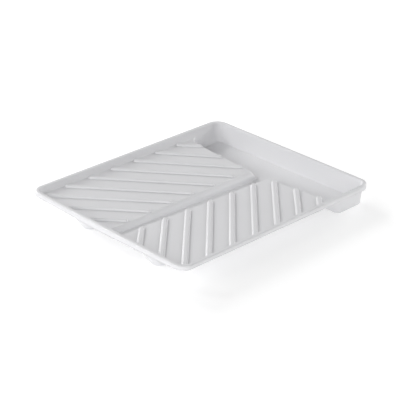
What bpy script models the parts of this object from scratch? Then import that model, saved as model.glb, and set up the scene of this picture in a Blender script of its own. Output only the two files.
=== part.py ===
"""A slanted, ribbed paint roller tray with a centre drain channel and a paint well, in metres, +Z up.

X runs across the tray, +Y towards the paint well, and the tray stands on z = 0 on its well and two feet.
The tray is one plastic moulding. Each moulded feature is a closed solid of its own, a small gap from the next.
"""

import math

import bmesh
import bpy
from mathutils import Matrix, Vector

# Overall size of the moulding.
TRAY_LENGTH = 0.305
TRAY_WIDTH = 0.258
RIM_HEIGHT_SHALLOW = 0.0323
RIM_HEIGHT_DEEP = 0.0284
CORNER_RADIUS = 0.0160

# Rim: a flat top with a skirt turned down outside the wall.
WALL_THICKNESS = 0.0020
RIM_TOP_WIDTH = 0.0050
SKIRT_DROP = 0.0050
SKIRT_THICKNESS = 0.0018

# Slope of each wall, as run over rise.
SIDE_DRAFT = 0.18
DEEP_END_DRAFT = 0.14
SHALLOW_END_DRAFT = 0.6

# Ribbed decks: two plates that fall from the side walls to the centre channel.
DECK_DEPTH_SHALLOW = 0.0082
DECK_DEPTH_DEEP = 0.0096
DECK_FALL_SHALLOW = 0.0055
DECK_FALL_DEEP = 0.0078
DECK_END_FROM_RIM = 0.0565
DECK_MARGIN = 0.0025

# Drain channel between the decks, wider and deeper towards the well.
CHANNEL_HALF_WIDTH_SHALLOW = 0.0045
CHANNEL_HALF_WIDTH_DEEP = 0.0105
CHANNEL_DEPTH_SHALLOW = 0.0015
CHANNEL_DEPTH_DEEP = 0.0075
CHANNEL_WALL_DRAFT = 0.35

# Paint well at the deep end.
WELL_FLOOR_HEIGHT = 0.0024
WELL_STEP_DRAFT = 0.50

# Chevron ribs on the decks.
RIB_COUNT = 10
RIB_ANGLE = math.radians(45)
RIB_WIDTH = 0.0064
RIB_TOP_WIDTH = 0.0048
RIB_HEIGHT = 0.0026
RIB_SPACES = 9.954
FIRST_RIB_SPACES = 0.236
RIB_END_CLEARANCE = 0.0022

# Feet under the shallow end.
FOOT_SPACING = 0.117
FOOT_SETBACK = 0.0315
FOOT_SOLE_RADIUS = 0.0085
FOOT_SIDE_DRAFT = 0.60

GAP = 0.0003
REACH = 0.02
ARC_STEPS = 8
DECK_STEPS = 6

# Places worked out from the sizes above, in the rim's own frame: z = 0 on the rim's top face.
HALF_LENGTH = TRAY_LENGTH / 2
HALF_WIDTH = TRAY_WIDTH / 2
RIM_TILT = math.atan2(RIM_HEIGHT_DEEP - RIM_HEIGHT_SHALLOW, TRAY_LENGTH)
RIM_HEIGHT_MIDDLE = (RIM_HEIGHT_DEEP + RIM_HEIGHT_SHALLOW) / 2
INNER_HALF_WIDTH = HALF_WIDTH - RIM_TOP_WIDTH
INNER_HALF_LENGTH = HALF_LENGTH - RIM_TOP_WIDTH
WALL_TOP = -WALL_THICKNESS - GAP
DECK_END = HALF_LENGTH - DECK_END_FROM_RIM
DECK_START = SHALLOW_END_DRAFT * DECK_DEPTH_SHALLOW - INNER_HALF_LENGTH
DECK_HALF_WIDTH = INNER_HALF_WIDTH - SIDE_DRAFT * DECK_DEPTH_DEEP
WALL_SPLIT = DECK_START + CORNER_RADIUS
STEP_DROP = RIM_HEIGHT_DEEP - WELL_FLOOR_HEIGHT - DECK_DEPTH_DEEP
STEP_FOOT = DECK_END + WALL_THICKNESS + WELL_STEP_DRAFT * STEP_DROP


def make_collection(name):
    collection = bpy.data.collections.new(name)
    bpy.context.scene.collection.children.link(collection)
    return collection


def make_material(name, color, roughness):
    material = bpy.data.materials.new(name)
    material.use_nodes = True
    shader = material.node_tree.nodes["Principled BSDF"]
    shader.inputs["Base Color"].default_value = (*color, 1.0)
    shader.inputs["Roughness"].default_value = roughness
    shader.inputs["Metallic"].default_value = 0.0
    return material


def make_object(name, bm, collection, material, parent):
    """Turns a bmesh into a named object under the given parent."""
    bmesh.ops.recalc_face_normals(bm, faces=bm.faces)
    mesh = bpy.data.meshes.new(name)
    bm.to_mesh(mesh)
    bm.free()
    obj = bpy.data.objects.new(name, mesh)
    collection.objects.link(obj)
    obj.parent = parent
    if material:
        mesh.materials.append(material)
    else:
        obj.hide_render = True
        obj.display_type = "WIRE"
    return obj


def boolean(obj, operation, cutter):
    modifier = obj.modifiers.new(f"{operation.lower()} {cutter.name}", "BOOLEAN")
    modifier.operation = operation
    modifier.object = cutter
    modifier.solver = "EXACT"
    modifier.use_self = True


def make_empty(name, collection, location, rotation, parent=None):
    empty = bpy.data.objects.new(name, None)
    collection.objects.link(empty)
    empty.location = location
    empty.rotation_euler = rotation
    empty.parent = parent
    return empty


def outline(half_width, y_min, y_max, radius):
    """Points of a rounded rectangle, anticlockwise."""
    corners = [
        (half_width - radius, y_max - radius, 0),
        (radius - half_width, y_max - radius, 90),
        (radius - half_width, y_min + radius, 180),
        (half_width - radius, y_min + radius, 270),
    ]
    points = []
    for x, y, start in corners:
        for step in range(ARC_STEPS + 1):
            angle = math.radians(start + 90 * step / ARC_STEPS)
            points.append((x + radius * math.cos(angle), y + radius * math.sin(angle)))
    return points


def loft(bottom_points, bottom_z, top_points, top_z):
    """A closed solid between two outlines with the same number of points."""
    bm = bmesh.new()
    low = [bm.verts.new((x, y, bottom_z)) for x, y in bottom_points]
    high = [bm.verts.new((x, y, top_z)) for x, y in top_points]
    count = len(low)
    for i in range(count):
        j = (i + 1) % count
        bm.faces.new((low[i], low[j], high[j], high[i]))
    bm.faces.new(list(reversed(low)))
    bm.faces.new(high)
    return bm


def tapered_loft(offset, top_z, bottom_z, shallow_side):
    """A tapered tub between two heights of the rim's frame. shallow_side gives its end nearest the shallow end."""
    rings = []
    for z in (bottom_z, top_z):
        half_width = INNER_HALF_WIDTH + offset + SIDE_DRAFT * z
        y_max = INNER_HALF_LENGTH + offset + DEEP_END_DRAFT * z
        radius = CORNER_RADIUS - RIM_TOP_WIDTH + offset
        rings.append(outline(half_width, shallow_side(z) - offset, y_max, radius))
    return loft(rings[0], bottom_z, rings[1], top_z)


def tray_loft(offset, top_z, bottom_z):
    """The tray's tapered inside, grown outwards by offset."""
    return tapered_loft(offset, top_z, bottom_z, lambda z: -INNER_HALF_LENGTH - SHALLOW_END_DRAFT * z)


def well_loft(offset, bottom_z):
    """The inside of the well below the decks' edges at the walls, grown outwards by offset."""
    step_top = DECK_END + WALL_THICKNESS
    top_z = -DECK_DEPTH_DEEP
    return tapered_loft(offset, top_z, bottom_z, lambda z: step_top + WELL_STEP_DRAFT * (top_z - z))


def block(x_min, x_max, y_min, y_max, z_min, z_max):
    """A box given by its faces."""
    bm = bmesh.new()
    size = Vector((x_max - x_min, y_max - y_min, z_max - z_min))
    middle = Vector((x_max + x_min, y_max + y_min, z_max + z_min)) / 2
    bmesh.ops.create_cube(bm, size=1.0, matrix=Matrix.Translation(middle) @ Matrix.Diagonal((*size, 1.0)))
    return bm


def reshape(bm, rule):
    """Moves every corner of a block to where the rule puts it."""
    for vert in bm.verts:
        vert.co = Vector(rule(*vert.co))
    return bm


def trim(bm, point, normal):
    """Cuts away what lies on the normal's side of a plane and closes the cut."""
    geometry = bm.verts[:] + bm.edges[:] + bm.faces[:]
    bmesh.ops.bisect_plane(bm, geom=geometry, plane_co=point, plane_no=normal, clear_outer=True)
    bmesh.ops.holes_fill(bm, edges=bm.edges[:], sides=0)


def along_ramp(y, shallow_value, deep_value):
    """A value that changes evenly from the ramp's shallow end to its end at the well."""
    share = (y + INNER_HALF_LENGTH) / (DECK_END + INNER_HALF_LENGTH)
    return shallow_value + share * (deep_value - shallow_value)


def deck_height(x, y):
    """Height of the decks' top faces in the rim's frame: a V that deepens towards the well."""
    depth_at_wall = along_ramp(y, DECK_DEPTH_SHALLOW, DECK_DEPTH_DEEP)
    fall = along_ramp(y, DECK_FALL_SHALLOW, DECK_FALL_DEEP)
    return -depth_at_wall - fall * (1 - abs(x) / DECK_HALF_WIDTH)


def slice_block(bm, x_cuts, y_cuts):
    """Adds edge loops across a block, so that it can follow a curved rule."""
    for normal, places in (((1, 0, 0), x_cuts), ((0, 1, 0), y_cuts)):
        for place in places:
            geometry = bm.verts[:] + bm.edges[:] + bm.faces[:]
            point = [place * n for n in normal]
            bmesh.ops.bisect_plane(bm, geom=geometry, plane_co=point, plane_no=normal)


def spread(start, end, count):
    """Places that split a stretch into count equal steps, without its ends."""
    return [start + (end - start) * i / count for i in range(1, count)]


def vee_block(drop, x_min, x_max, y_min, y_max):
    """A block whose floor is the decks' V, lowered by drop."""
    bm = block(x_min, x_max, y_min, y_max, 0, 1)
    slice_block(bm, [x for x in spread(-HALF_WIDTH, HALF_WIDTH, 2 * DECK_STEPS) if x_min < x < x_max], [])
    slice_block(bm, [], [y for y in spread(-HALF_LENGTH, HALF_LENGTH, 2 * DECK_STEPS) if y_min < y < y_max])
    return reshape(bm, lambda x, y, z: (x, y, REACH if z > 0.5 else deck_height(x, y) - drop))


def ground_plane(height):
    """Point and downward normal, in the rim's frame, of the level plane at a height above the ground."""
    point = Vector((0, 0, (height - RIM_HEIGHT_MIDDLE) / math.cos(RIM_TILT)))
    return point, Vector((0, -math.sin(RIM_TILT), -math.cos(RIM_TILT)))


def rim_hollow():
    """The space inside the rim's skirt, under its top."""
    t = SKIRT_THICKNESS
    ring = outline(HALF_WIDTH - t, t - HALF_LENGTH, HALF_LENGTH - t, CORNER_RADIUS - t)
    return loft(ring, -REACH, ring, -WALL_THICKNESS)


def channel_half_width(y):
    return along_ramp(y, CHANNEL_HALF_WIDTH_SHALLOW, CHANNEL_HALF_WIDTH_DEEP)


def channel_block(offset, y_min, y_max, z_top):
    """The drain channel's hollow, grown outwards by offset: a trough that widens and deepens along Y."""
    bm = block(-1, 1, y_min, y_max, 0, 1)

    def rule(x, y, z):
        lip = deck_height(channel_half_width(y), y)
        floor = lip - along_ramp(y, CHANNEL_DEPTH_SHALLOW, CHANNEL_DEPTH_DEEP) - offset
        height = z_top if z > 0.5 else floor
        half = channel_half_width(y) + offset + CHANNEL_WALL_DRAFT * (height - lip)
        return (x * half, y, height)

    return reshape(bm, rule)


def build_cutters(guides, rim_frame):
    """Solids that shape the tray but aren't part of it."""
    low = -RIM_HEIGHT_MIDDLE - REACH
    well_air = well_loft(0, low)
    trim(well_air, *ground_plane(WELL_FLOOR_HEIGHT))
    well_band = tray_loft(WALL_THICKNESS, WALL_TOP, low)
    trim(well_band, Vector((0, DECK_END, 0)), Vector((0, -1, 0)))
    shapes = {
        "cavity_cutter": tray_loft(0, REACH, low),
        "rim_hollow_cutter": rim_hollow(),
        "deck_field_cutter": tray_loft(-GAP, REACH, low),
        "rib_field_cutter": tray_loft(-RIB_END_CLEARANCE, REACH, low),
        "deck_air_cutter": vee_block(0, -TRAY_WIDTH, TRAY_WIDTH, -TRAY_LENGTH, TRAY_LENGTH),
        "channel_air_cutter": channel_block(0, -HALF_LENGTH, STEP_FOOT, 0),
        "channel_room_cutter": channel_block(WALL_THICKNESS + GAP, -HALF_LENGTH, STEP_FOOT, 0),
        "well_air_cutter": well_air,
        "well_band_cutter": well_band,
        "underside_cutter": vee_block(WALL_THICKNESS, -TRAY_WIDTH, TRAY_WIDTH, -TRAY_LENGTH, TRAY_LENGTH),
    }
    cutters = {name: make_object(name, bm, guides, None, rim_frame) for name, bm in shapes.items()}
    boolean(cutters["deck_air_cutter"], "INTERSECT", cutters["cavity_cutter"])
    boolean(cutters["well_band_cutter"], "INTERSECT", cutters["underside_cutter"])
    return cutters


def build_rim(parts, rim_frame, cutters, material):
    """The flat rim top with its skirt, one ring round the whole tray."""
    top = outline(HALF_WIDTH, -HALF_LENGTH, HALF_LENGTH, CORNER_RADIUS)
    rim = make_object("rim_lip", loft(top, -SKIRT_DROP, top, 0), parts, material, rim_frame)
    boolean(rim, "DIFFERENCE", cutters["rim_hollow_cutter"])
    boolean(rim, "DIFFERENCE", cutters["cavity_cutter"])


def build_walls(parts, guides, rim_frame, cutters, material):
    """The wall under the rim, from the shallow end to the start of the well, in three lengths."""
    low = -RIM_HEIGHT_MIDDLE - REACH
    side_end = DECK_END - GAP
    stretches = {
        "shallow_end_wall": (-TRAY_WIDTH, TRAY_WIDTH, -TRAY_LENGTH, WALL_SPLIT - GAP),
        "far_side_wall": (-TRAY_WIDTH, 0, WALL_SPLIT, side_end),
        "near_side_wall": (0, TRAY_WIDTH, WALL_SPLIT, side_end),
    }
    for name, limits in stretches.items():
        wall = make_object(name, tray_loft(WALL_THICKNESS, WALL_TOP, low), parts, material, rim_frame)
        keep = make_object(f"{name}_keep", vee_block(WALL_THICKNESS, *limits), guides, None, rim_frame)
        boolean(wall, "DIFFERENCE", cutters["cavity_cutter"])
        boolean(wall, "INTERSECT", keep)


def build_decks(parts, rim_frame, cutters, material):
    """The two ribbed plates of the ramp."""
    for name, side in (("far_deck", -1), ("near_deck", 1)):
        bm = block(0, side * HALF_WIDTH, -HALF_LENGTH, DECK_END - GAP, -WALL_THICKNESS, 0)
        slice_block(bm, spread(0, side * HALF_WIDTH, DECK_STEPS), spread(-HALF_LENGTH, DECK_END, 2 * DECK_STEPS))
        reshape(bm, lambda x, y, z: (x, y, z + deck_height(x, y)))
        deck = make_object(name, bm, parts, material, rim_frame)
        boolean(deck, "INTERSECT", cutters["deck_field_cutter"])
        boolean(deck, "DIFFERENCE", cutters["channel_room_cutter"])


def build_channel(parts, rim_frame, cutters, material):
    """The trough that drains the decks into the well."""
    bm = channel_block(WALL_THICKNESS, -HALF_LENGTH, STEP_FOOT - GAP, 0)
    channel = make_object("drain_channel", bm, parts, material, rim_frame)
    boolean(channel, "INTERSECT", cutters["deck_field_cutter"])
    boolean(channel, "DIFFERENCE", cutters["deck_air_cutter"])
    boolean(channel, "DIFFERENCE", cutters["channel_air_cutter"])
    boolean(channel, "DIFFERENCE", cutters["well_air_cutter"])


def build_well(parts, rim_frame, cutters, material):
    """The paint well: the deep end's walls, the step down from the ramp, and a floor that stands on the ground."""
    bm = well_loft(WALL_THICKNESS, -RIM_HEIGHT_MIDDLE - REACH)
    trim(bm, *ground_plane(0))
    well = make_object("well_pan", bm, parts, material, rim_frame)
    boolean(well, "UNION", cutters["well_band_cutter"])
    for name in ("well_air_cutter", "deck_air_cutter", "channel_room_cutter"):
        boolean(well, "DIFFERENCE", cutters[name])


def build_feet(parts, guides, rim_frame, material):
    """Two tapered feet under the shallow end, cut flat at the ground and to the decks' slope above."""
    foot_y = FOOT_SETBACK - HALF_LENGTH
    sole_point, sole_normal = ground_plane(0)
    sole_height = sole_point.z - foot_y * math.tan(RIM_TILT)
    top_radius = FOOT_SOLE_RADIUS + FOOT_SIDE_DRAFT * RIM_HEIGHT_SHALLOW
    room = vee_block(WALL_THICKNESS + GAP, -HALF_WIDTH, HALF_WIDTH, -TRAY_LENGTH, 0)
    room_cutter = make_object("foot_top_cutter", room, guides, None, rim_frame)
    for name, side in (("far_foot", -1), ("near_foot", 1)):
        bm = bmesh.new()
        middle = (side * FOOT_SPACING / 2, foot_y, sole_height + RIM_HEIGHT_SHALLOW / 2)
        bmesh.ops.create_cone(
            bm,
            cap_ends=True,
            segments=32,
            radius1=FOOT_SOLE_RADIUS,
            radius2=top_radius,
            depth=RIM_HEIGHT_SHALLOW,
            matrix=Matrix.Translation(middle),
        )
        trim(bm, sole_point, sole_normal)
        foot = make_object(name, bm, parts, material, rim_frame)
        boolean(foot, "DIFFERENCE", room_cutter)


def rib_body(side, apex):
    """One chevron arm: a bar with a narrower top, cut to its deck's edges and laid on its deck."""
    reach = TRAY_LENGTH
    bm = block(-reach, reach, -RIB_WIDTH / 2, RIB_WIDTH / 2, 0, RIB_HEIGHT)
    share = RIB_TOP_WIDTH / RIB_WIDTH
    reshape(bm, lambda x, y, z: (x, y * share if z > RIB_HEIGHT / 2 else y, z))
    turn = Matrix.Rotation(-side * RIB_ANGLE, 4, "Z")
    bmesh.ops.transform(bm, matrix=Matrix.Translation((0, apex, 0)) @ turn, verts=bm.verts)
    channel_run = DECK_END + INNER_HALF_LENGTH
    channel_side = Vector((-side * channel_run, CHANNEL_HALF_WIDTH_DEEP - CHANNEL_HALF_WIDTH_SHALLOW, 0))
    trim(bm, Vector((side * (CHANNEL_HALF_WIDTH_DEEP + DECK_MARGIN), DECK_END, 0)), channel_side.normalized())
    trim(bm, Vector((0, DECK_END - 2 * GAP, 0)), Vector((0, 1, 0)))
    slice_block(bm, spread(-HALF_WIDTH, HALF_WIDTH, 4 * DECK_STEPS), [])
    return reshape(bm, lambda x, y, z: (x, y, z + GAP + deck_height(x, y)))


def build_ribs(parts, rim_frame, cutters, material):
    """The chevron ribs: the same pattern on both decks, mirrored about the channel."""
    apex_low = DECK_START + (CHANNEL_HALF_WIDTH_SHALLOW + DECK_MARGIN) * math.tan(RIB_ANGLE)
    apex_high = DECK_END + DECK_HALF_WIDTH * math.tan(RIB_ANGLE)
    pitch = (apex_high - apex_low) / RIB_SPACES
    for label, side in (("far", -1), ("near", 1)):
        for number in range(RIB_COUNT):
            apex = apex_low + (FIRST_RIB_SPACES + number) * pitch
            name = f"{label}_rib_{number + 1:02d}"
            rib = make_object(name, rib_body(side, apex), parts, material, rim_frame)
            boolean(rib, "INTERSECT", cutters["rib_field_cutter"])


def build():
    for obj in list(bpy.data.objects):
        bpy.data.objects.remove(obj, do_unlink=True)
    parts = make_collection("paint_roller_tray")
    guides = make_collection("cutters")
    rim_frame = make_empty("rim_frame", parts, (0, 0, RIM_HEIGHT_MIDDLE), (RIM_TILT, 0, 0))
    cutters = build_cutters(guides, rim_frame)
    build_rim(parts, rim_frame, cutters, make_material("rim_plastic", (0.80, 0.80, 0.81), 0.32))
    build_walls(parts, guides, rim_frame, cutters, make_material("wall_plastic", (0.79, 0.79, 0.80), 0.34))
    build_decks(parts, rim_frame, cutters, make_material("deck_plastic", (0.78, 0.78, 0.80), 0.36))
    build_channel(parts, rim_frame, cutters, make_material("channel_plastic", (0.78, 0.78, 0.80), 0.36))
    build_well(parts, rim_frame, cutters, make_material("well_plastic", (0.79, 0.79, 0.80), 0.34))
    build_feet(parts, guides, rim_frame, make_material("foot_plastic", (0.80, 0.80, 0.79), 0.36))
    build_ribs(parts, rim_frame, cutters, make_material("rib_plastic", (0.80, 0.80, 0.81), 0.32))


build()
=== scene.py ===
"""Looks of the ribbed paint roller tray: one glossy white moulding on a pale studio floor.

Everything is modelled in the rim's own frame, where z = 0 is the top of the rim, and is then laid at the
rim's slope.
X runs across the tray, +Y towards the paint well, and the tray stands on z = 0.
"""

import math

import bmesh
import bpy
from bpy.props import FloatProperty, FloatVectorProperty, IntProperty, PointerProperty
from mathutils import Matrix, Vector


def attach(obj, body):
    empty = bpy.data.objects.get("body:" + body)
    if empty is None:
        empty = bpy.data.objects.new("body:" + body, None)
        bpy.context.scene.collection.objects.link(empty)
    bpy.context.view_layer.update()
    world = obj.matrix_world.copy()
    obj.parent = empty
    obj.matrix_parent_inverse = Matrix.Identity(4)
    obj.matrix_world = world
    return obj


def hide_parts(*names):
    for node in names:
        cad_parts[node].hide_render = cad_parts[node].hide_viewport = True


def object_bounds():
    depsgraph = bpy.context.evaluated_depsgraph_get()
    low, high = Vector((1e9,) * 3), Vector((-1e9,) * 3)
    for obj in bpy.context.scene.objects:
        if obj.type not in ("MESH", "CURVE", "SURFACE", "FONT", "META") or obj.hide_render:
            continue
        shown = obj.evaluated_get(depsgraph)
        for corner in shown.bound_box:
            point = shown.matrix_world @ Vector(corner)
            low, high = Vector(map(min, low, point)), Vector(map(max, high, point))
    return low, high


bl_info = {
    "name": "Ribbed paint roller tray",
    "version": (1, 0, 0),
    "blender": (4, 5, 0),
    "location": "View3D > Sidebar > Roller tray",
    "description": "Builds the moulded tray, its ribs and feet, and a pale studio round them",
    "category": "Object",
}

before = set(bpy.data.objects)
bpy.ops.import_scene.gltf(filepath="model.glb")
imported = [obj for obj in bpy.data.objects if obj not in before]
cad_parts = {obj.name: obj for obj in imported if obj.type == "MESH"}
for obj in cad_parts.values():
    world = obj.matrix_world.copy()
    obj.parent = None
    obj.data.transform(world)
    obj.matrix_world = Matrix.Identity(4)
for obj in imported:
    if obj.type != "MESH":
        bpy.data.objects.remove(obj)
CAD_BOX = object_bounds()
PLASTIC = "tray_gloss_plastic"

# Slopes of the walls inside the tray, as run over rise.
SIDE_SLOPE = 0.18
SHALLOW_END_SLOPE = 0.60
DEEP_END_SLOPE = 0.06
STEP_SLOPE = 0.50

# Roundings inside the tray, in metres.
DECK_ROUNDING = 0.0045
WELL_WALL_ROUNDING = 0.0055
WELL_FLOOR_ROUNDING = 0.006
STEP_ROUNDING = 0.0035
WELL_CORNER = 0.015

# The ledges beside the drain channel.
LEDGE_STEP_WIDTH = 0.0012
LEDGE_ROLL = 0.75
CHANNEL_WALL_RUN = 0.25

END_MARGIN = 0.00012  # keeps both ends inside the CAD's box
STEP_START = 0.004  # how far before the decks' end the step to the well begins
RAMP_OVERRUN = 0.012  # how far past the decks' end the panels are carried on, for the step to cut
WELL_BLEND = 0.004  # height above the well's floor over which the shell thickens
INNER_RING = 0.0110  # from the rim's inner edge to the grid in the middle of the tray
CORNER_STEPS = 10
RIM_LIP = 0.0011  # size of the rounding at the rim's inner edge

# Steps of a rib's grid across it, along it, and in each of its rounded ends.
RIB_ACROSS = 36
RIB_LENGTHWISE = 64
RIB_CAP = 14

# Distances on a rib in half widths, and the power of the bell curve across it.
RIB_START = 1.5
RIB_GRID_REACH = 1.6
RIB_TRIM = 1.45
RIB_BELL_POWER = 8.0

# Distances in metres: into the deck, the shortest axis, from the side walls, from the shallow end's wall.
RIB_SINK = 0.00006
RIB_SHORTEST = 0.001
RIB_WALL_GAP = 0.0055
RIB_END_GAP = 0.0032

# The feet.
FOOT_AROUND = 64
FOOT_EDGE = 0.0016
FOOT_TOP = 0.0185

# Name, place, size and power of each light. They all point at the origin.
LIGHTS = (
    ("key_light", (-0.25, -1.7, 0.8), (0.9, 0.9), 12.5),
    ("glint_light", (-1.35, -0.93, 1.27), (0.35, 0.35), 6),
    ("far_light", (-1.7, 0.15, 0.8), (0.9, 0.9), 19),
    ("back_light", (0.2564, 1.5602, 0.65), (1.1, 0.8), 14),
    ("front_light", (1.45, -0.9, 0.8), (1.4, 0.9), 10),
)
CAMERA_AZIMUTH = 46.0
CAMERA_ELEVATION = 27.3
CAMERA_DISTANCE = 1.64

PAN_NODES = (
    "rim_lip",
    "shallow_end_wall",
    "far_side_wall",
    "near_side_wall",
    "well_pan",
    "far_deck",
    "near_deck",
    "drain_channel",
)
SIDES = (("far", -1), ("near", 1))


def length(name, text, default):
    """A size in metres that shows in the sidebar."""
    return FloatProperty(name=name, description=text, default=default, unit="LENGTH", precision=5)


class TrayShape(bpy.types.PropertyGroup):
    """Sizes of the moulding."""

    rim_height_shallow: length("Rim height, shallow end", "Top of the rim above the ground", 0.0323)
    rim_height_deep: length("Rim height, deep end", "Top of the rim above the ground", 0.0284)
    corner_radius: length("Corner radius", "Outer corner of the rim in plan", 0.0160)
    rim_width: length("Rim width", "Flat of the rim, with its rounded edges", 0.0050)
    rim_edge: length("Rim edge", "Radius of the rim's outer edge", 0.0017)
    skirt_shallow: length("Skirt, shallow end", "Drop of the rim's skirt at the shallow corners", 0.0047)
    skirt_dip: length("Skirt dip", "Extra drop in the middle of the shallow end", 0.0027)
    skirt_deep: length("Skirt, deep end", "Drop of the rim's skirt at the deep end", 0.0058)
    shell: length("Shell", "Thickness of the moulding", 0.0016)
    deck_depth_shallow: length("Deck depth, shallow end", "Deck below the rim at the side wall", 0.0082)
    deck_depth_deep: length("Deck depth, deep end", "Deck below the rim at the side wall", 0.0096)
    deck_fall_shallow: length("Deck fall, shallow end", "Fall from the side wall to the middle", 0.0052)
    deck_fall_deep: length("Deck fall, deep end", "Fall from the side wall to the middle", 0.0078)
    deck_end: length("Deck end", "Distance of the decks' end from the middle of the tray", 0.0960)
    panel_edge_shallow: length("Panel edge, shallow end", "Half width of the ledges by the channel", 0.0086)
    panel_edge_deep: length("Panel edge, deep end", "Half width of the ledges by the channel", 0.0142)
    panel_step: length("Panel step", "Drop from the ribbed panels to the ledges", 0.0009)
    channel_half_shallow: length("Channel, shallow end", "Half width of the channel's mouth", 0.0048)
    channel_half_deep: length("Channel, deep end", "Half width of the channel's mouth", 0.0092)
    channel_depth_shallow: length("Channel depth, shallow end", "Depth under the ledges", 0.0022)
    channel_depth_deep: length("Channel depth, deep end", "Depth under the ledges", 0.0058)
    well_floor: length("Well floor", "Inside of the well above the ground", 0.0024)


class RibShape(bpy.types.PropertyGroup):
    """Sizes of the chevron ribs."""

    count: IntProperty(name="Ribs", description="Ribs on each deck", default=10, min=1)
    pitch: length("Pitch", "Distance between ribs along the tray", 0.03555)
    first: length("First rib", "Where the first rib would meet the middle of the tray", -0.1282)
    half_width: length("Half width", "Half width of a rib at half its height", 0.0027)
    height: length("Height", "Height of a rib on its deck", 0.0027)


class FootShape(bpy.types.PropertyGroup):
    """Sizes of the two feet."""

    spacing: length("Spacing", "Distance between the feet", 0.117)
    setback: length("Setback", "Distance of the feet from the shallow end", 0.0315)
    sole_radius: length("Sole radius", "Radius of the flat sole", 0.0085)
    flare: FloatProperty(name="Flare", description="Run over rise of a foot's side", default=0.60)


class Finish(bpy.types.PropertyGroup):
    """Colours of the plastic and of the studio."""

    plastic: FloatVectorProperty(
        name="Plastic", description="Colour of the moulding", default=(0.80, 0.80, 0.815), subtype="COLOR"
    )
    floor: FloatVectorProperty(
        name="Floor", description="Colour of the studio floor", default=(0.88, 0.88, 0.88), subtype="COLOR"
    )


def smooth_max(a, b, reach):
    """The larger of two heights, rounded where they cross."""
    share = max(reach - abs(a - b), 0.0) / reach
    return max(a, b) + share * share * reach / 4


def smooth_min(a, b, reach):
    """The smaller of two heights, rounded where they cross."""
    return -smooth_max(-a, -b, reach)


def ease(value):
    """A smooth step from 0 to 1."""
    value = min(max(value, 0.0), 1.0)
    return value * value * (3 - 2 * value)


def run_inside(dx, dy, radius):
    """Distance inside the outline at a rounded corner, and how much the edge faces along X, from 0 to 1.

    dx and dy are measured outwards from the middle of the corner's arc.
    """
    if dx > 0 and dy > 0:
        reach = math.hypot(dx, dy)
        return radius - reach, (dx / reach) ** 2
    if dx > dy:
        return radius - dx, 1.0
    return radius - dy, 0.0


class Form:
    """The rules that the moulding follows, in the rim's frame."""

    def __init__(self, shape):
        self.s = shape
        low, high = CAD_BOX
        self.half_width = (high[0] - low[0]) / 2
        self.tilt = math.atan2(shape.rim_height_deep - shape.rim_height_shallow, high[1] - low[1])
        self.half_length = (high[1] - low[1]) / 2 / math.cos(self.tilt) - END_MARGIN
        self.rim_middle = (shape.rim_height_deep + shape.rim_height_shallow) / 2
        self.inner_half_width = self.half_width - shape.rim_width
        self.inner_half_length = self.half_length - shape.rim_width
        self.place = Matrix.Translation((0, 0, self.rim_middle)) @ Matrix.Rotation(self.tilt, 4, "X")

    def along(self, y, shallow, deep):
        """A size at a place along the tray, from its values at the shallow end and at the decks' end."""
        share = (y + self.inner_half_length) / (self.s.deck_end + self.inner_half_length)
        return shallow + share * (deep - shallow)

    def deck(self, x, y):
        """Height of the V of the two ribbed panels."""
        depth = self.along(y, self.s.deck_depth_shallow, self.s.deck_depth_deep)
        fall = self.along(y, self.s.deck_fall_shallow, self.s.deck_fall_deep)
        return -depth - fall * (1 - abs(x) / self.inner_half_width)

    def panel_edge(self, y):
        """Half width of the ledges by the channel."""
        return self.along(y, self.s.panel_edge_shallow, self.s.panel_edge_deep)

    def channel_half(self, y):
        """Half width of the channel's mouth."""
        return self.along(y, self.s.channel_half_shallow, self.s.channel_half_deep)

    def ramp(self, x, y):
        """Height of the panels, the ledges and the drain channel."""
        side = abs(x)
        edge, half = self.panel_edge(y), self.channel_half(y)
        depth = self.along(y, self.s.channel_depth_shallow, self.s.channel_depth_deep)
        ledge = self.s.panel_step * ease((edge - side) / LEDGE_STEP_WIDTH + 0.5)
        # The ledge falls more and more steeply towards the channel.
        share = min(max(edge - side, 0.0) / (edge - half), 1.0)
        roll = share ** 1.5 * LEDGE_ROLL * (edge - half)
        trough = depth * ease((half - side) / (CHANNEL_WALL_RUN * depth) + 0.1)
        return self.deck(x, y) - ledge - roll - trough

    def ground(self, y, height):
        """A level plane above the ground, in the rim's frame."""
        return (height - self.rim_middle) / math.cos(self.tilt) - y * math.tan(self.tilt)

    def wall_run(self, x, y):
        """Distance inside the rim's inner edge, and the slope of the wall there as run over rise."""
        radius = self.s.corner_radius - self.s.rim_width
        dx = abs(x) - (self.inner_half_width - radius)
        dy = abs(y) - (self.inner_half_length - radius)
        run, sideways = run_inside(dx, dy, radius)
        end_slope = DEEP_END_SLOPE if y > 0 else SHALLOW_END_SLOPE
        return run, sideways * SIDE_SLOPE + (1 - sideways) * end_slope

    def well(self, x, y):
        """Height of the paint well: a step down from the decks, rounded corners in plan and a level floor."""
        top = self.deck(self.inner_half_width, self.s.deck_end)
        half_width = self.inner_half_width + SIDE_SLOPE * top
        dx = abs(x) - (half_width - WELL_CORNER)
        dy = (self.s.deck_end + WELL_CORNER) - y
        run, sideways = run_inside(dx, dy, WELL_CORNER)
        slope = sideways * SIDE_SLOPE + (1 - sideways) * STEP_SLOPE
        side = self.deck(x, self.s.deck_end) - run / slope
        return smooth_max(self.ground(y, self.s.well_floor), side, WELL_FLOOR_ROUNDING)

    def inside(self, x, y):
        """Height of the tray's inside anywhere within the rim."""
        floor = self.ramp(x, min(y, self.s.deck_end + RAMP_OVERRUN))
        if y > self.s.deck_end - STEP_START:
            level = self.ground(y, self.s.well_floor)
            floor = max(smooth_min(floor, self.well(x, y), STEP_ROUNDING), level)
        run, slope = self.wall_run(x, y)
        reach = DECK_ROUNDING if y < self.s.deck_end else WELL_WALL_ROUNDING
        return smooth_max(floor, -max(run, 0.0) / slope, reach)


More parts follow.
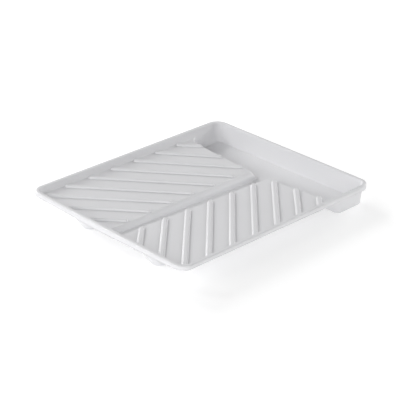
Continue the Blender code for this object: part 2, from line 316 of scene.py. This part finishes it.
def places(*stretches):
    """Values along a line from (start, end, count) stretches that share their ends."""
    values = [stretches[0][0]]
    for start, end, count in stretches:
        values += [start + (end - start) * i / count for i in range(1, count + 1)]
    return values


def pan_columns(form, y):
    """X of the grid's columns at a place along the tray: they follow the channel and its ledges."""
    edge, half = form.panel_edge(y), form.channel_half(y)
    last = form.inner_half_width - INNER_RING
    right = places(
        (0.0, half - 0.0032, 3),
        (half - 0.0032, half + 0.0006, 9),
        (half + 0.0006, edge - 0.0010, 5),
        (edge - 0.0010, edge + 0.0010, 6),
        (edge + 0.0010, last - 0.004, 12),
        (last - 0.004, last, 2),
    )
    return [-x for x in reversed(right[1:])] + right


def pan_rows(form):
    """Y of the grid's rows, closest together where the decks end and step down to the well."""
    end = form.s.deck_end
    last = form.inner_half_length - INNER_RING
    return places(
        (-last, -last + 0.004, 2),
        (-last + 0.004, end - 0.006, 26),
        (end - 0.006, end + 0.004, 20),
        (end + 0.004, end + 0.018, 20),
        (end + 0.018, last - 0.004, 6),
        (last - 0.004, last, 2),
    )


def pan_stations(form):
    """Points of the rim's inner edge, anticlockwise from the near shallow corner.

    Each comes with its inward direction, and with the row and column of the grid's vertex that it leads to.
    """
    radius = form.s.corner_radius - form.s.rim_width
    half_width, half_length = form.inner_half_width, form.inner_half_length
    flat_x, flat_y = half_width - radius, half_length - radius
    rows = pan_rows(form)
    shallow_columns = pan_columns(form, rows[0])
    deep_columns = pan_columns(form, form.s.deck_end)

    def corner(x, y, start, grid_place):
        arc = []
        for i in range(1, CORNER_STEPS):
            angle = math.radians(start + 90 * i / CORNER_STEPS)
            out = Vector((math.cos(angle), math.sin(angle)))
            arc.append((Vector((x, y)) + out * radius, -out, grid_place))
        return arc

    near = [(Vector((half_width, y)), Vector((-1, 0)), (i, -1)) for i, y in enumerate(rows)]
    deep = [(Vector((x, half_length)), Vector((0, -1)), (-1, i)) for i, x in enumerate(deep_columns)]
    far = [(Vector((-half_width, y)), Vector((1, 0)), (i, 0)) for i, y in enumerate(rows)]
    shallow = [(Vector((x, -half_length)), Vector((0, 1)), (0, i)) for i, x in enumerate(shallow_columns)]
    return [
        *near,
        *corner(flat_x, flat_y, 0, (-1, -1)),
        *reversed(deep),
        *corner(-flat_x, flat_y, 90, (-1, 0)),
        *reversed(far),
        *corner(-flat_x, -flat_y, 180, (0, 0)),
        *shallow,
        *corner(flat_x, -flat_y, 270, (0, -1)),
    ]


# Distances inwards from the rim's inner edge at which the wall has a ring of vertices.
WALL_RUNS = (
    [0.00012 * i for i in range(1, 4)]
    + [0.0006 + 0.00025 * i for i in range(12)]
    + [0.0037 + 0.0003 * i for i in range(12)]
    + [0.0074 + 0.0006 * i for i in range(6)]
)


def skirt_drop(form, point):
    """Drop of the skirt below the rim: deeper towards the well, and in the middle of the shallow end."""
    share = (point.y + form.half_length) / (2 * form.half_length)
    drop = form.s.skirt_shallow + share * (form.s.skirt_deep - form.s.skirt_shallow)
    if point.y < 0:
        drop += form.s.skirt_dip * max(1 - abs(point.x) / form.inner_half_width, 0.0)
    return drop


def rim_profile(form, point):
    """(distance out from the rim's inner edge, height), from the skirt's lower edge over the top inwards."""
    width, edge = form.s.rim_width, form.s.rim_edge
    drop = skirt_drop(form, point)
    profile = [(width, -drop), (width, -(2 * drop + edge) / 3), (width, -(drop + 2 * edge) / 3)]
    for i in range(7):
        angle = math.radians(90 * i / 6)
        profile.append((width - edge * (1 - math.cos(angle)), -edge * (1 - math.sin(angle))))
    profile += [(width - edge - 0.0008, 0.0), (RIM_LIP + 0.0004, 0.0)]
    for i in range(5):
        angle = math.radians(90 * i / 5)
        profile.append((RIM_LIP * (1 - math.sin(angle)), -RIM_LIP * (1 - math.cos(angle)) * 0.6))
    return profile


def join_rings(bm, rings):
    """Adds the faces between closed rings of vertices, without the corners that come up twice in a face."""
    for lower, upper in zip(rings, rings[1:]):
        for i in range(len(lower)):
            j = (i + 1) % len(lower)
            corners = [lower[i], lower[j], upper[j], upper[i]]
            kept = [v for k, v in enumerate(corners) if v not in corners[:k]]
            if len(kept) > 2:
                bm.faces.new(kept)


def build_pan_mesh(form):
    """The whole shell: an upper surface that follows the tray, and a lower one at the shell's thickness."""
    bm = bmesh.new()
    stations = pan_stations(form)
    rows = pan_rows(form)
    grid = []
    for y in rows:
        columns = pan_columns(form, max(min(y, form.s.deck_end), rows[0]))
        grid.append([bm.verts.new((x, y, form.inside(x, y))) for x in columns])
    rings = []
    for level in zip(*(rim_profile(form, point) for point, _, _ in stations)):
        ring = []
        for (point, inward, _), (out, z) in zip(stations, level):
            at = point - inward * out
            ring.append(bm.verts.new((at.x, at.y, z)))
        rings.append(ring)
    for run in WALL_RUNS:
        ring = []
        for point, inward, _ in stations:
            at = point + inward * run
            ring.append(bm.verts.new((at.x, at.y, form.inside(at.x, at.y))))
        rings.append(ring)
    rings.append([grid[row][column] for _, _, (row, column) in stations])
    join_rings(bm, rings)
    for low_row, high_row in zip(grid, grid[1:]):
        for i in range(len(low_row) - 1):
            bm.faces.new((low_row[i], low_row[i + 1], high_row[i + 1], high_row[i]))
    bm.normal_update()
    add_underside(form, bm, rings[0])
    bmesh.ops.transform(bm, matrix=form.place, verts=bm.verts)
    for vert in bm.verts:
        vert.co.z = max(vert.co.z, 0.0)
    return bm


def add_underside(form, bm, edge_ring):
    """Copies the upper surface a shell's thickness behind it, and joins the two round the skirt."""
    upper_faces = list(bm.faces)
    under = {}
    for vert in list(bm.verts):
        thickness = form.s.shell
        blend = form.ground(vert.co.y, form.s.well_floor) + WELL_BLEND - vert.co.z
        if blend > 0 and vert.co.y > form.s.deck_end:
            thickness += (form.s.well_floor - form.s.shell) * ease(blend / WELL_BLEND)
        under[vert] = bm.verts.new(vert.co - vert.normal * thickness)
    for face in upper_faces:
        bm.faces.new([under[v] for v in reversed(face.verts)])
    count = len(edge_ring)
    for i in range(count):
        a, b = edge_ring[i], edge_ring[(i + 1) % count]
        bm.faces.new((a, under[a], under[b], b))


def finish_piece(name, mesh, nodes, material):
    """Makes the object for a finished mesh and ties it to the frame."""
    obj = bpy.data.objects.new(name, mesh)
    bpy.context.scene.collection.objects.link(obj)
    mesh.materials.clear()
    mesh.materials.append(material)
    for polygon in mesh.polygons:
        polygon.use_smooth = True
    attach(obj, "root")
    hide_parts(*nodes)
    return obj


def mesh_from(bm, name):
    """Turns a bmesh into a mesh, and frees it."""
    mesh = bpy.data.meshes.new(name)
    bm.normal_update()
    bm.to_mesh(mesh)
    bm.free()
    return mesh


class Nodes:
    """Short ways to add and join the nodes of a tree."""

    def __init__(self, tree):
        self.tree = tree

    def new(self, kind, **values):
        """Adds a node and sets its options."""
        node = self.tree.nodes.new(kind)
        for name, value in values.items():
            setattr(node, name, value)
        return node

    def feed(self, socket, value):
        """Links a socket into an input, or sets the input to a constant."""
        if isinstance(value, bpy.types.NodeSocket):
            self.tree.links.new(value, socket)
        else:
            socket.default_value = value

    def math(self, operation, *values):
        """Adds a maths node and returns its result."""
        node = self.new("ShaderNodeMath", operation=operation)
        for socket, value in zip(node.inputs, values):
            self.feed(socket, value)
        return node.outputs[0]

    def store(self, name, geometry, value):
        """Stores a number on every point, and returns the geometry."""
        node = self.new("GeometryNodeStoreNamedAttribute", data_type="FLOAT", domain="POINT")
        node.inputs["Name"].default_value = name
        self.feed(node.inputs["Geometry"], geometry)
        self.feed(node.inputs["Value"], value)
        return node.outputs[0]

    def stored(self, name):
        """Reads back a number that was stored on the points."""
        node = self.new("GeometryNodeInputNamedAttribute", data_type="FLOAT")
        node.inputs["Name"].default_value = name
        return node.outputs[0]


def plastic_material(roughness=0.33):
    """Smooth moulded plastic: a soft gloss, a faint unevenness of the surface and of its colour."""
    existing = bpy.data.materials.get(PLASTIC)
    if existing:
        return existing
    material = bpy.data.materials.new(PLASTIC)
    material.use_nodes = True
    make = Nodes(material.node_tree)
    shader = material.node_tree.nodes["Principled BSDF"]
    colour = bpy.context.scene.tray_finish.plastic
    coords = make.new("ShaderNodeTexCoord").outputs["Object"]
    flow = make.new("ShaderNodeTexNoise")
    make.feed(flow.inputs["Vector"], coords)
    flow.inputs["Scale"].default_value = 14.0
    flow.inputs["Detail"].default_value = 3.0
    tint = make.new("ShaderNodeValToRGB")
    tint.color_ramp.elements[0].position = 0.3
    tint.color_ramp.elements[0].color = (colour[0] * 0.985, colour[1] * 0.985, colour[2] * 0.985, 1)
    tint.color_ramp.elements[1].position = 0.7
    tint.color_ramp.elements[1].color = (*colour, 1)
    make.feed(tint.inputs["Fac"], flow.outputs["Fac"])
    make.feed(shader.inputs["Base Color"], tint.outputs["Color"])
    grain = make.new("ShaderNodeTexNoise")
    make.feed(grain.inputs["Vector"], coords)
    grain.inputs["Scale"].default_value = 900.0
    grain.inputs["Detail"].default_value = 2.0
    rough = make.new("ShaderNodeMapRange")
    make.feed(rough.inputs["Value"], flow.outputs["Fac"])
    rough.inputs["To Min"].default_value = roughness - 0.03
    rough.inputs["To Max"].default_value = roughness + 0.04
    make.feed(shader.inputs["Roughness"], rough.outputs["Result"])
    bump = make.new("ShaderNodeBump")
    bump.inputs["Strength"].default_value = 0.06
    bump.inputs["Distance"].default_value = 0.0002
    make.feed(bump.inputs["Height"], grain.outputs["Fac"])
    make.feed(shader.inputs["Normal"], bump.outputs["Normal"])
    shader.inputs["IOR"].default_value = 1.49
    shader.inputs["Specular IOR Level"].default_value = 0.5
    shader.inputs["Coat Weight"].default_value = 0.45
    shader.inputs["Coat Roughness"].default_value = 0.14
    return material


def rib_tree(form, side, material):
    """Geometry nodes for one deck's ribs: a grid for each rib, bent to a rounded bar on its deck."""
    tree = bpy.data.node_groups.new(f"ribs_{'near' if side > 0 else 'far'}", "GeometryNodeTree")
    tree.is_modifier = True
    face = tree.interface
    face.new_socket("Geometry", in_out="OUTPUT", socket_type="NodeSocketGeometry")
    face.new_socket("Count", in_out="INPUT", socket_type="NodeSocketInt")
    for name in ("Pitch", "First", "Half width", "Height"):
        face.new_socket(name, in_out="INPUT", socket_type="NodeSocketFloat")
    make = Nodes(tree)
    given = make.new("NodeGroupInput").outputs

    line = make.new("GeometryNodeMeshLine")
    make.feed(line.inputs["Count"], given["Count"])
    points = make.store("rib", line.outputs[0], make.new("GeometryNodeInputIndex").outputs[0])

    grid = make.new("GeometryNodeMeshGrid")
    grid.inputs["Size X"].default_value = 1.0
    grid.inputs["Size Y"].default_value = 2.0
    grid.inputs["Vertices X"].default_value = RIB_LENGTHWISE + 1
    grid.inputs["Vertices Y"].default_value = RIB_ACROSS + 1
    spot = make.new("ShaderNodeSeparateXYZ")
    make.feed(spot.inputs[0], make.new("GeometryNodeInputPosition").outputs[0])
    bar = make.store("u", grid.outputs[0], make.math("ADD", spot.outputs[0], 0.5))
    bar = make.store("v", bar, spot.outputs[1])

    instances = make.new("GeometryNodeInstanceOnPoints")
    make.feed(instances.inputs["Points"], points)
    make.feed(instances.inputs["Instance"], bar)
    real = make.new("GeometryNodeRealizeInstances")
    make.feed(real.inputs[0], instances.outputs[0])

    # Where the rib's axis starts by the channel and ends by the wall, as distances from the tray's middle.
    m = make.math
    s = form.s
    half, height = given["Half width"], given["Height"]
    apex = m("MULTIPLY_ADD", make.stored("rib"), given["Pitch"], given["First"])
    span = s.deck_end + form.inner_half_length
    spread = (s.panel_edge_deep - s.panel_edge_shallow) / span
    at_zero = s.panel_edge_shallow + spread * form.inner_half_length
    edge_x = m("DIVIDE", m("MULTIPLY_ADD", apex, spread, at_zero), 1 + spread)
    start = m("MAXIMUM", edge_x, m("SUBTRACT", apex, s.deck_end))
    start = m("ADD", start, m("MULTIPLY", half, RIB_START))
    wall_x = form.inner_half_width - RIB_WALL_GAP
    wall_foot = SHALLOW_END_SLOPE * (s.deck_depth_shallow + s.deck_fall_shallow)
    wall_foot = wall_foot + RIB_END_GAP - form.inner_half_length
    lean = SHALLOW_END_SLOPE * s.deck_fall_shallow / form.inner_half_width
    end = m("MINIMUM", wall_x, m("DIVIDE", m("SUBTRACT", apex, wall_foot), 1 - lean))
    end = m("MAXIMUM", end, m("ADD", start, RIB_SHORTEST))

    # Place along the axis, and how far past its ends in the rounded caps.
    step = m("MULTIPLY", make.stored("u"), RIB_LENGTHWISE)
    before = m("MINIMUM", m("SUBTRACT", step, RIB_CAP), 0.0)
    after = m("MAXIMUM", m("SUBTRACT", step, RIB_LENGTHWISE - RIB_CAP), 0.0)
    over = m("MULTIPLY", m("ADD", before, after), m("MULTIPLY", half, RIB_GRID_REACH / RIB_CAP))
    share = m("DIVIDE", m("SUBTRACT", step, RIB_CAP), RIB_LENGTHWISE - 2 * RIB_CAP)
    share = m("MINIMUM", m("MAXIMUM", share, 0.0), 1.0)
    diagonal = math.sqrt(0.5)
    axis = m("MULTIPLY_ADD", share, m("SUBTRACT", end, start), start)
    axis = m("ADD", axis, m("MULTIPLY", over, diagonal))
    offset = m("MULTIPLY", make.stored("v"), m("MULTIPLY", half, RIB_GRID_REACH))
    x = m("MULTIPLY_ADD", offset, diagonal, axis)
    y = m("MULTIPLY_ADD", offset, diagonal, m("SUBTRACT", apex, axis))

    # Height: a flat-topped bell across the rib, on the deck.
    away = m("SQRT", m("ADD", m("MULTIPLY", offset, offset), m("MULTIPLY", over, over)))
    bell = m("DIVIDE", 1.0, m("ADD", 1.0, m("POWER", m("DIVIDE", away, half), RIB_BELL_POWER)))
    rise = m("SUBTRACT", m("MULTIPLY", bell, height), RIB_SINK)
    share_y = m("DIVIDE", m("ADD", y, form.inner_half_length), span)
    depth = m("MULTIPLY_ADD", share_y, s.deck_depth_deep - s.deck_depth_shallow, s.deck_depth_shallow)
    fall = m("MULTIPLY_ADD", share_y, s.deck_fall_deep - s.deck_fall_shallow, s.deck_fall_shallow)
    lift = m("SUBTRACT", 1.0, m("DIVIDE", x, form.inner_half_width))
    z = m("SUBTRACT", rise, m("MULTIPLY_ADD", fall, lift, depth))

    where = make.new("ShaderNodeCombineXYZ")
    make.feed(where.inputs[0], m("MULTIPLY", x, float(side)))
    make.feed(where.inputs[1], y)
    make.feed(where.inputs[2], z)
    place = make.new("GeometryNodeSetPosition")
    make.feed(place.inputs["Geometry"], real.outputs[0])
    make.feed(place.inputs["Position"], where.outputs[0])
    trim = make.new("GeometryNodeDeleteGeometry", domain="POINT")
    make.feed(trim.inputs["Geometry"], place.outputs[0])
    make.feed(trim.inputs["Selection"], m("GREATER_THAN", away, m("MULTIPLY", half, RIB_TRIM)))
    plain = make.new("GeometryNodeRealizeInstances")
    make.feed(plain.inputs[0], trim.outputs[0])
    paint = make.new("GeometryNodeSetMaterial")
    make.feed(paint.inputs["Geometry"], plain.outputs[0])
    paint.inputs["Material"].default_value = material
    make.feed(make.new("NodeGroupOutput").inputs[0], paint.outputs[0])
    return tree


def baked_mesh(tree, values, name):
    """Runs a geometry-nodes tree with its named inputs and returns the plain mesh."""
    holder = bpy.data.objects.new(name, bpy.data.meshes.new(name))
    bpy.context.scene.collection.objects.link(holder)
    modifier = holder.modifiers.new("nodes", "NODES")
    modifier.node_group = tree
    for item in tree.interface.items_tree:
        if item.in_out == "INPUT":
            modifier[item.identifier] = values[item.name]
    graph = bpy.context.evaluated_depsgraph_get()
    graph.update()
    mesh = bpy.data.meshes.new_from_object(holder.evaluated_get(graph))
    holder.modifiers.remove(modifier)
    bpy.data.objects.remove(holder)
    return mesh


def foot_mesh(form, sizes, side):
    """A rounded, tapered foot from the ground up into the deck's underside."""
    centre = Vector((side * sizes.spacing / 2, sizes.setback - form.half_length))
    to_rim = form.place.inverted()
    bm = bmesh.new()
    profile = [(0.0, 0.0), (sizes.sole_radius * 0.5, 0.0), (sizes.sole_radius, 0.0)]
    for i in range(1, 6):
        angle = math.radians(12 * i)
        profile.append((sizes.sole_radius + FOOT_EDGE * math.sin(angle), FOOT_EDGE * (1 - math.cos(angle))))
    base_radius, base_z = profile[-1]
    rise = FOOT_TOP - base_z
    for i in range(1, 13):
        z = base_z + rise * i / 12
        profile.append((base_radius + sizes.flare * (z - base_z), z))
    rings = []
    for radius, z in profile:
        ring = []
        for i in range(FOOT_AROUND):
            angle = 2 * math.pi * i / FOOT_AROUND
            x = centre.x + radius * math.cos(angle)
            y = centre.y + radius * math.sin(angle)
            local = to_rim @ Vector((x, y, z))
            ceiling = form.deck(local.x, local.y) - form.s.shell * 0.6
            local.z = min(local.z, ceiling)
            ring.append(bm.verts.new(form.place @ local))
        rings.append(ring)
    join_rings(bm, rings)
    bm.faces.new(rings[-1])
    bmesh.ops.remove_doubles(bm, verts=bm.verts, dist=1e-6)
    bmesh.ops.recalc_face_normals(bm, faces=bm.faces)
    return bm


class TRAY_OT_pan(bpy.types.Operator):
    """Build the moulding's shell: rim, walls, decks, drain channel and well"""

    bl_idname = "tray.build_pan"
    bl_label = "Tray shell"

    def execute(self, context):
        form = Form(context.scene.tray_shape)
        mesh = mesh_from(build_pan_mesh(form), "tray_shell")
        finish_piece("tray_shell", mesh, PAN_NODES, plastic_material())
        return {"FINISHED"}


class TRAY_OT_ribs(bpy.types.Operator):
    """Build the chevron ribs on both decks"""

    bl_idname = "tray.build_ribs"
    bl_label = "Chevron ribs"

    def execute(self, context):
        form = Form(context.scene.tray_shape)
        sizes = context.scene.tray_ribs
        values = {
            "Count": sizes.count,
            "Pitch": sizes.pitch,
            "First": sizes.first,
            "Half width": sizes.half_width,
            "Height": sizes.height,
        }
        material = plastic_material()
        for label, side in SIDES:
            mesh = baked_mesh(rib_tree(form, side, material), values, f"{label}_ribs")
            bm = bmesh.new()
            bm.from_mesh(mesh)
            if side > 0:
                bmesh.ops.reverse_faces(bm, faces=bm.faces)
            bmesh.ops.transform(bm, matrix=form.place, verts=bm.verts)
            bm.to_mesh(mesh)
            bm.free()
            nodes = [f"{label}_rib_{i + 1:02d}" for i in range(sizes.count)]
            finish_piece(f"{label}_ribs", mesh, nodes, material)
        return {"FINISHED"}


class TRAY_OT_feet(bpy.types.Operator):
    """Build the two feet under the shallow end"""

    bl_idname = "tray.build_feet"
    bl_label = "Feet"

    def execute(self, context):
        form = Form(context.scene.tray_shape)
        sizes = context.scene.tray_feet
        material = plastic_material()
        for label, side in SIDES:
            mesh = mesh_from(foot_mesh(form, sizes, side), f"{label}_foot_body")
            finish_piece(f"{label}_foot_body", mesh, [f"{label}_foot"], material)
        return {"FINISHED"}


def add_area_light(name, place, size, power):
    """A white rectangle of light that points at the origin."""
    light = bpy.data.lights.new(name, "AREA")
    light.shape = "RECTANGLE"
    light.size, light.size_y = size
    light.energy = power
    obj = bpy.data.objects.new(name, light)
    obj.location = place
    obj.rotation_euler = (-Vector(place)).to_track_quat("-Z", "Y").to_euler()
    bpy.context.scene.collection.objects.link(obj)


def add_floor(scene):
    """A wide pale floor, a hair under the ground."""
    bpy.ops.mesh.primitive_plane_add(size=40, location=(0, 0, -0.00002))
    floor = bpy.context.object
    floor.name = "studio_floor"
    material = bpy.data.materials.new("studio_floor_paint")
    material.use_nodes = True
    shader = material.node_tree.nodes["Principled BSDF"]
    shader.inputs["Base Color"].default_value = (*scene.tray_finish.floor, 1)
    shader.inputs["Roughness"].default_value = 0.9
    shader.inputs["Specular IOR Level"].default_value = 0.0
    shader.inputs["Emission Color"].default_value = (1, 1, 1, 1)
    shader.inputs["Emission Strength"].default_value = 0.31
    floor.data.materials.append(material)


def add_world(scene):
    """A faint even light from all round."""
    world = bpy.data.worlds.new("studio_air")
    world.use_nodes = True
    scene.world = world
    background = world.node_tree.nodes["Background"]
    background.inputs["Color"].default_value = (1, 1, 1, 1)
    background.inputs["Strength"].default_value = 0.19


def add_camera(scene):
    """The camera, above the near side and the shallow end."""
    camera_data = bpy.data.cameras.new("camera")
    camera = bpy.data.objects.new("camera", camera_data)
    scene.collection.objects.link(camera)
    azimuth, elevation = math.radians(CAMERA_AZIMUTH), math.radians(CAMERA_ELEVATION)
    across = math.cos(elevation)
    way = Vector((math.sin(azimuth) * across, -math.cos(azimuth) * across, math.sin(elevation)))
    camera.location = CAMERA_DISTANCE * way
    camera.rotation_euler = (-camera.location).to_track_quat("-Z", "Y").to_euler()
    camera_data.sensor_width = 36
    camera_data.lens = 126
    camera_data.shift_x = -0.0054
    camera_data.shift_y = 0.0228
    camera_data.clip_start = 0.01
    scene.camera = camera


class TRAY_OT_stage(bpy.types.Operator):
    """Build the floor, the soft lights and the camera"""

    bl_idname = "tray.build_stage"
    bl_label = "Studio"

    def execute(self, context):
        scene = context.scene
        scene.view_settings.view_transform = "Standard"
        add_floor(scene)
        add_world(scene)
        for light in LIGHTS:
            add_area_light(*light)
        add_camera(scene)
        return {"FINISHED"}


class TRAY_PT_panel(bpy.types.Panel):
    """Buttons and sizes of the tray"""

    bl_idname = "TRAY_PT_panel"
    bl_label = "Roller tray"
    bl_space_type = "VIEW_3D"
    bl_region_type = "UI"
    bl_category = "Roller tray"

    def draw(self, context):
        for operator in OPERATORS:
            self.layout.operator(operator.bl_idname)
        for name in GROUPS:
            group = getattr(context.scene, name)
            box = self.layout.box()
            for size in group.__annotations__:
                box.prop(group, size)


OPERATORS = (TRAY_OT_pan, TRAY_OT_ribs, TRAY_OT_feet, TRAY_OT_stage)
GROUPS = {"tray_shape": TrayShape, "tray_ribs": RibShape, "tray_feet": FootShape, "tray_finish": Finish}


def register():
    """Adds the sizes, the operators and the panel to Blender."""
    for group in GROUPS.values():
        bpy.utils.register_class(group)
    for name, group in GROUPS.items():
        setattr(bpy.types.Scene, name, PointerProperty(type=group))
    for entry in (*OPERATORS, TRAY_PT_panel):
        bpy.utils.register_class(entry)


def unregister():
    """Takes them out again, in the opposite order."""
    for entry in (TRAY_PT_panel, *reversed(OPERATORS)):
        bpy.utils.unregister_class(entry)
    for name in GROUPS:
        delattr(bpy.types.Scene, name)
    for group in reversed(GROUPS.values()):
        bpy.utils.unregister_class(group)


def main():
    """Builds the tray and its studio."""
    register()
    bpy.ops.tray.build_pan()
    bpy.ops.tray.build_ribs()
    bpy.ops.tray.build_feet()
    bpy.ops.tray.build_stage()


if __name__ == "__main__":
    main()
